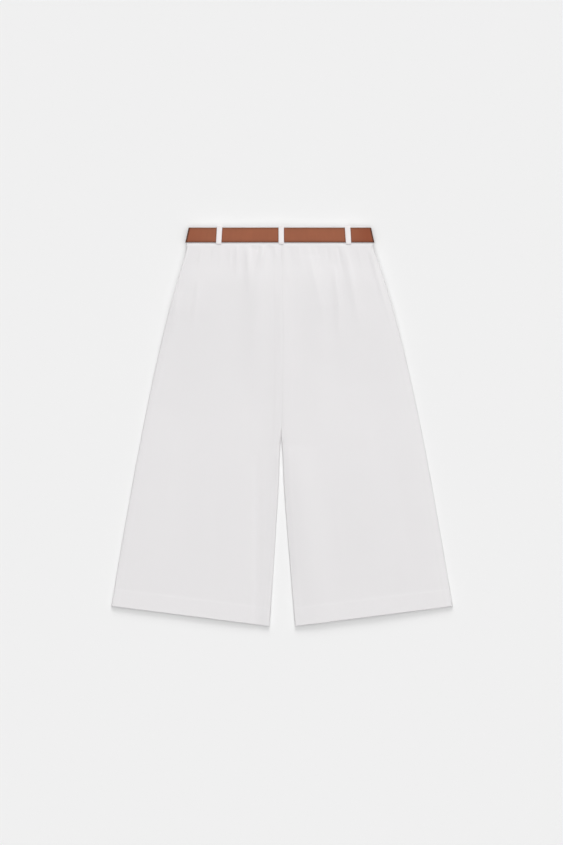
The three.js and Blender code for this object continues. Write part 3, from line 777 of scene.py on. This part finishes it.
def leather(name):
    """Smooth tan leather with a fine grain, cross wrinkles and darker cut edges.

    It is darker and redder towards both side folds, with painted shade where it bends round them
    and a painted shadow beside each back loop.
    """
    finish = Finish(name)
    place = finish.node("ShaderNodeUVMap", {"uv_map": "cut"})
    _, across = finish.split(place)
    stretched = finish.stretched(place, 0.16)
    grain = finish.node("ShaderNodeTexVoronoi", None, {"Vector": place, "Scale": 1500})
    pores = finish.noise(place, 700, 4)
    wrinkle = finish.noise(stretched, 190, 3)
    cloud = finish.noise(place, 26, 3)
    half = BELT_WIDTH / 2 * MM
    rim = ((across - half).math("ABSOLUTE") * (1 / half)) ** 7
    from_left, along = finish.split(finish.own_place())
    along_loop = along - y_at(0) * MM
    # Painted shadow on the leather beside each back loop.
    loop_painted_shadow = 0.0
    for loop_x in BACK_LOOPS:
        slant = 1 - along_loop * (LOOP_LEAN * BAND_TAPER / (WAIST_HALF * MM))
        away = (from_left - (slant * (loop_x * MM) + CENTRE_X * MM)).math("ABSOLUTE")
        edge = (away - (LOOP_WIDTH / 2 + LOOP_SHADOW_OFFSET) * MM) * (1 / (LOOP_SHADOW_WIDTH * MM))
        loop_painted_shadow = loop_painted_shadow + (edge * edge * -1).math("EXPONENT")
    tone = (cloud - 0.5) * 0.9 + (wrinkle - 0.5) * 0.6 + (pores - 0.5) * 0.4 + 0.5
    colour = finish.mixed(tone, paint(shade(LEATHER_TAN, 0.88)), paint(shade(LEATHER_TAN, 1.12)))
    right_end = (from_left - RED_START["right"]) * RED_RATE["right"]
    left_end = (from_left * -1 - RED_START["left"]) * RED_RATE["left"]
    colour = finish.mixed(right_end, colour, paint(LEATHER_RED))
    colour = finish.mixed(left_end, colour, paint(LEATHER_RED))
    colour = finish.mixed(loop_painted_shadow * 0.6, colour, paint(shade(LEATHER_TAN, 0.5)))
    # Painted shade where the belt bends round the side folds.
    bend_painted_shade = finish.attribute("bend_painted_shade")
    colour = finish.mixed(bend_painted_shade * 0.95, colour, paint(shade(LEATHER_TAN, 0.12)))
    colour = finish.mixed(rim * 0.95, colour, paint(shade(LEATHER_TAN, 0.24)))
    values = {
        "Base Color": colour,
        "Roughness": 0.5 + 0.12 * pores + 0.1 * rim,
        "Normal": finish.bump(grain * 0.6 + pores * 0.5 + wrinkle * 1.6, 0.35, 0.12),
        "Specular IOR Level": 0.35,
    }
    return finish.surface(values)


def buckle_metal(name):
    """Satin brass with fine polishing lines and a slightly cloudy tone."""
    finish = Finish(name)
    place = finish.own_place()
    lines = finish.stretched(place, 12.0)
    brushed = finish.noise(lines, 500, 3)
    cloud = finish.noise(place, 120, 2)
    values = {
        "Base Color": finish.mixed(cloud, paint(BRASS_DARK), paint(BRASS_LIGHT)),
        "Metallic": 1.0,
        "Roughness": 0.24 + 0.16 * brushed,
        "Normal": finish.bump(brushed, 0.2, 0.03),
    }
    return finish.surface(values)


def thread(name):
    """Twisted sewing thread."""
    finish = Finish(name)
    diagonal = {"bands_direction": "DIAGONAL"}
    values = {"Vector": finish.own_place(), "Scale": 900}
    twist = finish.node("ShaderNodeTexWave", diagonal, values)
    colour = finish.mixed(twist, paint(THREAD_DARK), paint(THREAD_LIGHT))
    normal = finish.bump(twist, 0.3, 0.04)
    return finish.surface({"Base Color": colour, "Roughness": 0.7, "Normal": normal})


def floor_paint(name):
    finish = Finish(name)
    cloud = finish.noise(finish.own_place(), 3, 2)
    colour = finish.mixed(cloud, (0.868, 0.868, 0.868, 1), (0.872, 0.872, 0.872, 1))
    values = {"Base Color": colour, "Roughness": 1.0, "Specular IOR Level": 0.0}
    return finish.surface(values)


# ---------------------------------------------------------------- belt

HINGE_X = -7  # middle of the strap's fold round the hinge bar
STRAP_END = -45  # the strap's sewn end
STRAP_RAMP = (-48, -73)  # the strap rises from the buckle to the waistband
BUCKLE_RAMP = (45, 22)  # the other end comes down to the buckle
TIP_RAMP = (14, -4)  # and dives through its frame
TIP_LENGTH = 13
BELT_CORNER = 0.6  # radius of the belt's edges


def stretch(start, end, count, height, up, front):
    """Stations along a nearly level run whose height is a function of x."""
    xs = np.linspace(start, end, count + 1)
    rise = np.array([height(x + 0.5) - height(x - 0.5) for x in xs])
    size = np.hypot(1, rise)
    heights = np.array([height(x) for x in xs])
    return [(x, z, -up * r / s, up / s, front) for x, z, r, s in zip(xs, heights, rise, size)]


def bend(centre_x, centre_z, radius, start, end, count, front=False):
    """Stations round a fold, between two angles in degrees."""
    points = []
    for angle in np.radians(np.linspace(start, end, count + 1)):
        nx, nz = math.cos(angle), math.sin(angle)
        points.append((centre_x + radius * nx, centre_z + radius * nz, nx, nz, front))
    return points


def ramp(x, ends, start_z, end_z):
    """Height of the belt where it goes from one level to another between two x."""
    start_x, end_x = ends
    return lerp(start_z, end_z, float(ease((x - start_x) / (end_x - start_x))))


def belt_path():
    """Stations (x, z, nx, nz, front) along the belt's middle, from the sewn end to the tip."""
    half = BELT_WALL / 2
    run, strap, tip = RUN_Z + half, STRAP_Z + half, half
    tip_run = run - BELT_WALL - SEAM
    left_fold = -(side_reach(-1, 0) - BAND_STACK / 2)
    right_fold = side_reach(1, 0) - BAND_STACK / 2
    radius = BAND_STACK / 2 + SEAM + half
    low_x, high_x = STRAP_RAMP
    start_x, end_x = BUCKLE_RAMP
    dive_x, dived_x = TIP_RAMP

    def run_z(x):
        return run

    def strap_z(x):
        return ramp(x, STRAP_RAMP, strap, run)

    def tip_z(x):
        return ramp(x, STRAP_RAMP, tip, tip_run)

    def back_z(x):
        return BELT_BACK_Z + half + float(crown(x))

    returned = stretch(STRAP_END, HINGE_X - 1, 6, run_z, -1, True)
    path = [(x, z, -nx, -nz, front) for x, z, nx, nz, front in returned]
    path += bend(HINGE_X, (run + strap) / 2, (run - strap) / 2, 90, -90, 12, True)
    path += stretch(HINGE_X - 1, low_x, 6, strap_z, -1, True)
    path += stretch(low_x - 2, high_x, 9, strap_z, -1, True)
    path += stretch(high_x - 7, left_fold + 1, 14, strap_z, -1, True)
    path += bend(left_fold - BELT_SLACK["left"], BAND_MIDDLE_Z, radius, 270, 90, 16)
    path += stretch(left_fold + 1, right_fold - 1, 60, back_z, 1, False)
    path += bend(right_fold + BELT_SLACK["right"], BAND_MIDDLE_Z, radius, 90, -90, 16)
    path += stretch(right_fold - 1, start_x + 5, 16, run_z, -1, True)
    path += stretch(start_x, end_x, 9, lambda x: ramp(x, BUCKLE_RAMP, run, strap), -1, True)
    path += stretch(dive_x, dived_x, 9, lambda x: ramp(x, TIP_RAMP, strap, tip), -1, True)
    path += stretch(dived_x - 4, low_x, 6, tip_z, -1, True)
    path += stretch(low_x - 2, high_x, 9, tip_z, -1, True)
    path += stretch(high_x - 7, BELT_TIP_X + TIP_LENGTH, 6, tip_z, -1, True)
    return path


def belt_section():
    """Outline of the strap's cut as (offset, row) with rounded edges, which starts at its top."""
    half = BELT_WALL / 2
    points = []
    for centre_row in (-BELT_WIDTH / 2 + BELT_CORNER, BELT_WIDTH / 2 - BELT_CORNER):
        sign = math.copysign(1, centre_row)
        for side in (0, 1):
            for degrees in (8, 30, 60, 82):
                turn = math.radians(degrees + 90 * side)
                row = centre_row + sign * BELT_CORNER * math.sin(turn)
                offset = sign * (half - BELT_CORNER) * (1 if side == 0 else -1)
                points.append((offset + sign * BELT_CORNER * math.cos(turn), row))
    flat_rows = np.linspace(BELT_WIDTH / 2 - BELT_CORNER, -BELT_WIDTH / 2 + BELT_CORNER, 8)[1:-1]
    bottom = [(-half, row) for row in flat_rows]
    top = [(half, row) for row in flat_rows[::-1]]
    return [*points[8:], *bottom, *points[:8], *top]


def belt_stations():
    """The path's stations with the share of the width that each has, and the rounded tip's."""
    path = belt_path()
    stations = [(*station, 1.0) for station in path]
    z = path[-1][1]
    for degrees in (15, 30, 45, 58, 68, 76, 83, 88):
        angle = math.radians(degrees)
        x = BELT_TIP_X + TIP_LENGTH * (1 - math.sin(angle))
        stations.append((x, z, 0, -1, True, math.cos(angle)))
    return stations


def back_wave(x):
    """Low waves of the leather along the back."""
    return 0.3 * (0.14 * math.sin(x / 23.0) + 0.1 * math.sin(x / 9.0 + 2))


def bend_share(nx):
    """0 where the back run is level, and 1 where it is upright at a side fold."""
    return max(0, (abs(nx) - 0.05) / 0.95) ** 0.45


def make_belt(material):
    stations = belt_stations()
    section = belt_section()
    middle = BELT_DROP - BELT_WIDTH / 2
    points, uv, bend_painted_shade = [], [], []
    walked = 0.0
    last_x, last_z = stations[0][:2]
    for x, z, nx, nz, front, narrow in stations:
        walked += math.hypot(x - last_x, z - last_z)
        last_x, last_z = x, z
        dip = float(front_dip(x)) if front else 0.0
        wave = 0.0 if front else back_wave(x)
        for offset, row in section:
            drop = middle + row * narrow
            taper = float(side_reach(0, drop)) / WAIST_HALF
            across = (x + offset * nx) * taper
            points.append((CENTRE_X + across, y_at(drop + dip), z + offset * nz + wave))
            uv.append((walked, row + BELT_WIDTH / 2))
            bend_painted_shade.append(0.0 if front else bend_share(nx))
    count = len(section)
    faces = []
    for i in range(len(stations) - 1):
        for j in range(count):
            k = (j + 1) % count
            faces.append((i * count + j, i * count + k, (i + 1) * count + k, (i + 1) * count + j))
    faces.append(tuple(range(count))[::-1])
    end = (len(stations) - 1) * count
    faces.append(tuple(range(end, end + count)))
    piece = new_piece("belt_leather", points, faces, uv)
    # Painted shade where the belt bends round a side fold, which its colour reads.
    store(piece, "bend_painted_shade", bend_painted_shade)
    make_outward(piece)
    punch_belt(piece)
    smooth(piece, 38)
    finish_piece(piece, material, ["belt_strap"])


def make_outward(piece):
    choose(piece)
    bpy.ops.object.mode_set(mode="EDIT")
    bpy.ops.mesh.select_all(action="SELECT")
    bpy.ops.mesh.normals_make_consistent(inside=False)
    bpy.ops.object.mode_set(mode="OBJECT")


# The tip's holes: x, radius, and the height that the cutter reaches, below the strap over it.
TIP_HOLES = [(-92, 1.6, 4.5), (-67, 1.6, 4.5), (-40, 1.6, 1.75), (-16, 1.6, 1.75), (8, 2.2, 1.75)]
HINGE_SLOT = (4.6, 3.0, 1.7)  # size of the slot over the hinge bar, which the prong goes through
HINGE_SLOT_X = -5.3


def punch_belt(piece):
    """Cuts the tip's round holes, the prong's among them, and the slot over the hinge bar."""
    y = y_at(BELT_DROP - BELT_WIDTH / 2 + FRONT_DIP)
    cutters = []
    for x, radius, high in TIP_HOLES:
        dip = float(front_dip(x)) - FRONT_DIP
        bpy.ops.mesh.primitive_cylinder_add(
            vertices=20,
            radius=radius * MM,
            depth=(high + 1) * MM,
            location=((CENTRE_X + x) * MM, (y - dip) * MM, (high - 1) / 2 * MM),
        )
        cutters.append(bpy.context.active_object)
    slot_place = ((CENTRE_X + HINGE_SLOT_X) * MM, y * MM, (RUN_Z - BAR_ROOM / 2) * MM)
    bpy.ops.mesh.primitive_cube_add(size=MM, location=slot_place)
    slot = bpy.context.active_object
    slot.scale = HINGE_SLOT
    cutters.append(slot)
    for cutter in cutters:
        choose(cutter)
        bpy.ops.object.transform_apply(location=True, rotation=True, scale=True)
        cut = piece.modifiers.new("hole", "BOOLEAN")
        cut.operation = "DIFFERENCE"
        cut.object = cutter
        cut.solver = "EXACT"
        apply_modifiers(piece)
        bpy.data.objects.remove(cutter)


# ---------------------------------------------------------------- stitches

STITCH_LENGTH = 2.0
STITCH_RADIUS = 0.24
STITCH_FLATNESS = 0.7
STITCH_PITCH = 2.8
LOOP_PITCH = 2.7
STITCH_SINK = 0.02  # how far the middle of a stitch lies below the cloth
ROW_INSET = 1.3  # from a loop's edge to its row of stitches
TACK_TOP, TACK_FOOT = 1.6, 2.4  # from a loop's ends to the ends of its rows
BAR_STITCHES = 6  # in the bar tack at each end of a loop
BAR_OFFSET = 0.4  # from the row's end to the bar tack
BAR_PITCH = 1.1
BAR_ANGLE = 74


def from_lowest(face):
    """The same face, started from its lowest point."""
    start = face.index(min(face))
    return face[start:] + face[:start]


def one_stitch():
    """Points and faces of one stitch along X, a slim rounded bar that sinks in at its ends.

    The sphere's faces come in an order that varies, so they are sorted.
    """
    bpy.ops.mesh.primitive_uv_sphere_add(segments=8, ring_count=5, radius=STITCH_RADIUS * MM)
    stitch = bpy.context.active_object
    points = np.array([vertex.co[:] for vertex in stitch.data.vertices]) / MM
    faces = sorted(from_lowest(tuple(face.vertices)) for face in stitch.data.polygons)
    bpy.data.objects.remove(stitch)
    points = points[:, [2, 1, 0]] * np.array([1, 1, -1])
    points[:, 0] *= STITCH_LENGTH / (2 * STITCH_RADIUS)
    return points, faces


def stitch_line(places):
    """Stitches at places (x, y, z, angle across the table in degrees), as one list of points."""
    base, base_faces = one_stitch()
    points, faces = [], []
    for x, y, z, degrees in places:
        turn = math.radians(degrees)
        start = len(points)
        for px, py, pz in base:
            across = px * math.cos(turn) - py * math.sin(turn)
            along = px * math.sin(turn) + py * math.cos(turn)
            points.append((x + across, y + along, z + pz * STITCH_FLATNESS))
        faces += [tuple(start + i for i in face) for face in base_faces]
    return points, faces


def row_places(start, end, height):
    """Places of stitches from one point to another, at the height that height(y) gives."""
    (x0, y0), (x1, y1) = start, end
    count = max(1, round(math.hypot(x1 - x0, y1 - y0) / LOOP_PITCH))
    degrees = math.degrees(math.atan2(y1 - y0, x1 - x0))
    places = []
    for i in range(count):
        share = (i + 0.5) / count
        x, y = lerp(x0, x1, share), lerp(y0, y1, share)
        places.append((x, y, height(y), degrees))
    return places


def loop_stitches(node, outside_is_up):
    """A loop's two rows of stitches, and the bar tack that holds each of its ends."""
    low, high = (np.array(corner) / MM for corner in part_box(node))
    outside = high[2] - STITCH_SINK if outside_is_up else low[2] + STITCH_SINK
    settle = LOOP_SETTLE / (high[1] - low[1]) if outside_is_up else 0
    lean = (high[0] - low[0] - LOOP_WIDTH) * (-1 if low[0] + high[0] > 0 else 1)
    if node.endswith("centre"):
        lean = 0
    middle = (low[0] + high[0]) / 2
    top, bottom = high[1] - TACK_TOP, low[1] + TACK_FOOT

    def height(y):
        return outside - settle * (high[1] - y)

    places = []
    for edge in (-1, 1):
        x = middle + edge * (LOOP_WIDTH / 2 - ROW_INSET)
        places += row_places((x + lean / 2, top), (x - lean / 2, bottom), height)
    for y, shift in ((top - BAR_OFFSET, lean / 2), (bottom + BAR_OFFSET, -lean / 2)):
        for i in range(BAR_STITCHES):
            x = middle + shift + (i - (BAR_STITCHES - 1) / 2) * BAR_PITCH
            places.append((x, y, height(y), BAR_ANGLE))
    return places


FLY_LEFT, FLY_RIGHT, FLY_DROP, FLY_CURVE = -34, 6, 165, 42  # edges and curved end of the fly flap
FLY_INSET = 1.3  # from the front panels' outside to the flap's
FLY_ROW = {"left": 3.5, "right": 3, "bottom": 6}  # from the flap's edges to its stitches
FLY_ROW_START = 14
FLY_ROW_STEP = 1.4
FLY_ROW_TURN = 0.96  # just under 1, so that the curve's end isn't quite level


def fly_line():
    """Points (x, drop) along the fly's seam, which curves over to the centre at its end."""
    start_x, end_x = FLY_LEFT + FLY_ROW["left"], FLY_RIGHT - FLY_ROW["right"]
    end = FLY_DROP - FLY_ROW["bottom"]
    line = []
    for drop in np.arange(FLY_ROW_START, end, FLY_ROW_STEP):
        curved = min(max((drop - end + FLY_CURVE) / FLY_CURVE, 0), 1)
        turned = 1 - math.sqrt(1 - curved * curved * FLY_ROW_TURN)
        line.append((lerp(start_x, end_x, turned), drop))
    return line


def fly_stitches():
    places = []
    walked = 0.0
    line = fly_line()
    for (x0, drop0), (x1, drop1) in zip(line, line[1:]):
        walked += math.hypot(x1 - x0, drop1 - drop0)
        if walked >= STITCH_PITCH:
            walked = 0.0
            y = y_at(drop1)
            outside = float(front_underside(np.array(x1), np.array(MIDDLE_DROP - y)))
            degrees = math.degrees(math.atan2(drop0 - drop1, x1 - x0))
            places.append((CENTRE_X + x1, y, outside - FLY_INSET + STITCH_SINK, degrees))
    return places


# ---------------------------------------------------------------- the shorts

cloth = crepe("crepe_cloth", own_measure=True)
band_cloth = crepe("crepe_band", own_measure=False)
loop_cloth = crepe("crepe_loop", own_measure=False, white=LOOP_WHITE)
belt_leather = leather("tan_leather")
brass = buckle_metal("satin_brass")
white_thread = thread("white_thread")

for side in SIDES:
    cloth_panel(side, "front", cloth)
for side in SIDES:
    cloth_panel(side, "back", cloth)

make_belt(belt_leather)

CLOTH_BEVEL = 0.6  # rounding of a folded edge, in millimetres

# Solid, piece and flat size in metres.
BANDS = [
    ("waistband_back", "band_cloth_back", (0.333, 0.0315)),
    ("waistband_front_left", "band_cloth_front_left", (0.176, 0.0315)),
    ("waistband_front_right", "band_cloth_front_right", (0.196, 0.0315)),
]
for node, name, flat in BANDS:
    band = finish_piece(dressed_copy(node, name, CLOTH_BEVEL), band_cloth, [node])

fly = finish_piece(dressed_copy("fly_flap", "fly_cloth", 0.3), band_cloth, ["fly_flap"])

LOOP_PLACES = {"back": ("left", "centre", "right"), "front": ("left", "right")}
stitches = []
for face, places in LOOP_PLACES.items():
    for place in places:
        node = f"loop_{face}_{place}"
        loop = dressed_copy(node, f"loop_cloth_{face}_{place}", CLOTH_BEVEL)
        finish_piece(loop, loop_cloth, [node])
        if face == "back":
            settle_foot(loop)
        stitches += loop_stitches(node, face == "back")

stitches += fly_stitches()
points, faces = stitch_line(stitches)
sewing = new_piece("sewing_thread", points, faces)
make_outward(sewing)
smooth(sewing, 60)
finish_piece(sewing, white_thread)

METAL = [("buckle_frame", "buckle_ring", 0.4), ("buckle_prong", "buckle_tongue", 0.35)]
for node, name, bevel in METAL:
    finish_piece(dressed_copy(node, name, bevel), brass, [node])

# ---------------------------------------------------------------- floor, light and camera

FLOOR_Z = -0.0002
bpy.ops.mesh.primitive_plane_add(size=8, location=(0, 0, FLOOR_Z))
floor = bpy.context.active_object
floor.name = "floor"
floor.data.materials.append(floor_paint("pale_floor"))


def sun(name, azimuth, elevation, spread, share):
    """A soft far light. share is its part of the light on the floor, and azimuth 0 is from +Y."""
    data = bpy.data.lights.new(name, "SUN")
    side, rise = math.radians(azimuth), math.radians(elevation)
    data.energy = share * math.pi / math.sin(rise)
    data.angle = math.radians(spread)
    light = bpy.data.objects.new(name, data)
    level = math.cos(rise)
    towards = Vector((math.sin(side) * level, math.cos(side) * level, math.sin(rise)))
    light.rotation_euler = towards.to_track_quat("Z", "Y").to_euler()
    bpy.context.collection.objects.link(light)
    return light


def light_group(name, pieces):
    """A collection that limits what a light shines on, or what casts its shadows."""
    group = bpy.data.collections.new(name)
    for piece in pieces:
        group.objects.link(piece)
    return group


SKY_SHARE = 0.10
sun("low_window", azimuth=0, elevation=27, spread=30, share=0.257)
sun("overhead", azimuth=0, elevation=90, spread=90, share=0.565)
side_light = sun("side_window", azimuth=82, elevation=30, spread=40, share=0.08)
floor_alone = light_group("floor_alone", [floor])
side_light.light_linking.blocker_collection = floor_alone

# A small lamp over the seat, for the shorts alone: it evens out the light down their length.
meshes = [piece for piece in bpy.data.objects if piece.type == "MESH" and piece != floor]
lamp_data = bpy.data.lights.new("seat_lamp", "POINT")
lamp_data.energy = 0.42
lamp_data.shadow_soft_size = 0.2
lamp = bpy.data.objects.new("seat_lamp", lamp_data)
lamp.location = (0.02, 0.21, 0.42)
bpy.context.collection.objects.link(lamp)
lamp.light_linking.receiver_collection = light_group("garment_alone", meshes)
lamp.light_linking.blocker_collection = floor_alone

world = bpy.data.worlds.new("studio")
world.use_nodes = True
background = world.node_tree.nodes["Background"]
background.inputs["Color"].default_value = (1, 1, 1, 1)
background.inputs["Strength"].default_value = SKY_SHARE
bpy.context.scene.world = world
bpy.context.scene.view_settings.view_transform = "Standard"

VIEW_CENTRE = (-0.0009, 0.0066)
VIEW_LEVEL = 0.006  # height at which the view is VIEW_HEIGHT tall
VIEW_HEIGHT = 1.5041
camera_data = bpy.data.cameras.new("camera")
camera_data.lens = 140
camera_data.sensor_width = 36
camera_data.clip_end = 100
camera = bpy.data.objects.new("camera", camera_data)
distance = VIEW_HEIGHT * camera_data.lens / camera_data.sensor_width
camera.location = (*VIEW_CENTRE, VIEW_LEVEL + distance)
bpy.context.collection.objects.link(camera)
bpy.context.scene.camera = camera
